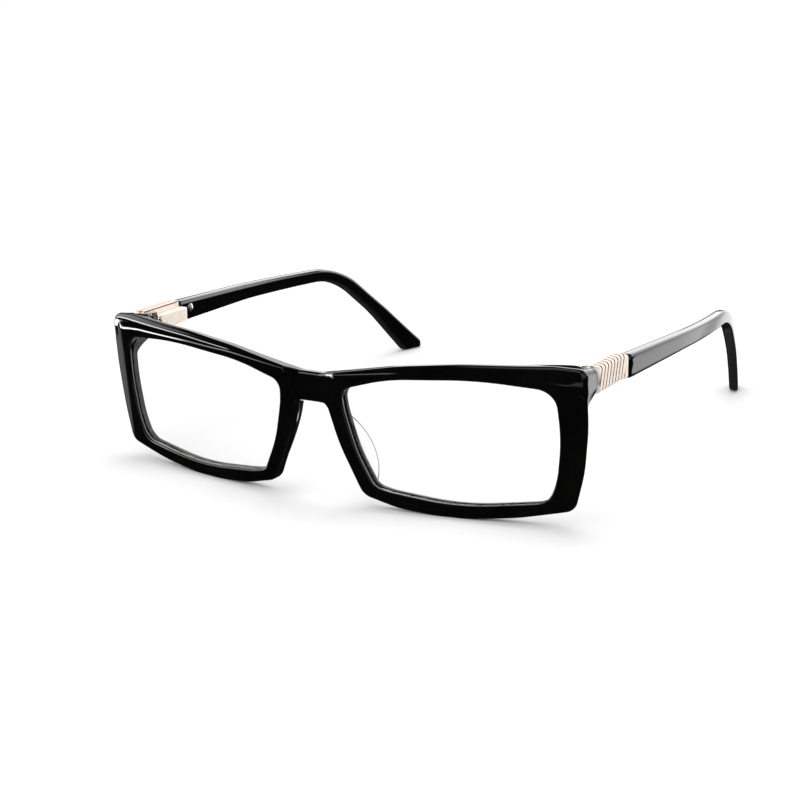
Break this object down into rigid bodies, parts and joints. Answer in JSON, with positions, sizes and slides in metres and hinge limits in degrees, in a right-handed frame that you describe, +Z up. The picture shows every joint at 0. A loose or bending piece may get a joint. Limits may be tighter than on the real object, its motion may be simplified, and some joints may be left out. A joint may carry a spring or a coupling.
{
  "type": "eyeglasses frame",
  "caption": "Full-rim rectangular eyeglasses frame in glossy black acetate with clear lenses, nose pads, spring hinges and rope-ribbed rose-gold temple ends.",
  "frame": {"origin": "on the surface that the open glasses stand on, at the middle of the bounding box", "axes": "+X towards the wearer's left, +Y from the front to the temple tips, +Z up"},
  "size_m": [0.1374, 0.1532, 0.0392],
  "materials": {
    "acetate": "polished black acetate",
    "rose_gold": "polished pale rose-gold plating",
    "hinge_steel": "polished stainless steel",
    "lens": "clear demonstration lens",
    "nose_pad": "clear moulded plastic"
  },
  "bodies": {
    "front": {"front_frame": "acetate", "lens_left": "lens", "lens_right": "lens", "nose_pad_left": "nose_pad", "nose_pad_right": "nose_pad", "hinge_leaf_left": "hinge_steel", "hinge_leaf_right": "hinge_steel", "hinge_screw_left": "hinge_steel", "hinge_screw_right": "hinge_steel"},
    "slider_left": {"spring_slider_left": "hinge_steel", "slider_nut_left": "hinge_steel"},
    "temple_left": {"hinge_housing_left": "rose_gold", "spring_retainer_left": "hinge_steel", "hinge_spring_left": "hinge_steel", "metal_temple_end_left": "rose_gold", "temple_arm_left": "acetate", "arm_screw_left": "hinge_steel", "core_wire_left": "hinge_steel"},
    "slider_right": {"spring_slider_right": "hinge_steel", "slider_nut_right": "hinge_steel"},
    "temple_right": {"hinge_housing_right": "rose_gold", "spring_retainer_right": "hinge_steel", "hinge_spring_right": "hinge_steel", "metal_temple_end_right": "rose_gold", "temple_arm_right": "acetate", "arm_screw_right": "hinge_steel", "core_wire_right": "hinge_steel"}
  },
  "joints": [
    {"name": "fold_left", "type": "hinge", "parent": "front", "child": "slider_left", "pos_m": [0.062, -0.05457, 0.0341], "axis": [0, 0, 1], "range_deg": [0, 87]},
    {"name": "spring_pull_left", "type": "slide", "parent": "slider_left", "child": "temple_left", "axis": [0, 1, 0], "range_m": [0, 0.0015], "stiffness_N_per_m": 800, "springref_m": -0.002, "deforming": ["hinge_spring_left"]},
    {"name": "fold_right", "type": "hinge", "parent": "front", "child": "slider_right", "pos_m": [-0.062, -0.05457, 0.0341], "axis": [0, 0, -1], "range_deg": [0, 78]},
    {"name": "spring_pull_right", "type": "slide", "parent": "slider_right", "child": "temple_right", "axis": [0, 1, 0], "range_m": [0, 0.0015], "stiffness_N_per_m": 800, "springref_m": -0.002, "deforming": ["hinge_spring_right"]}
  ]
}
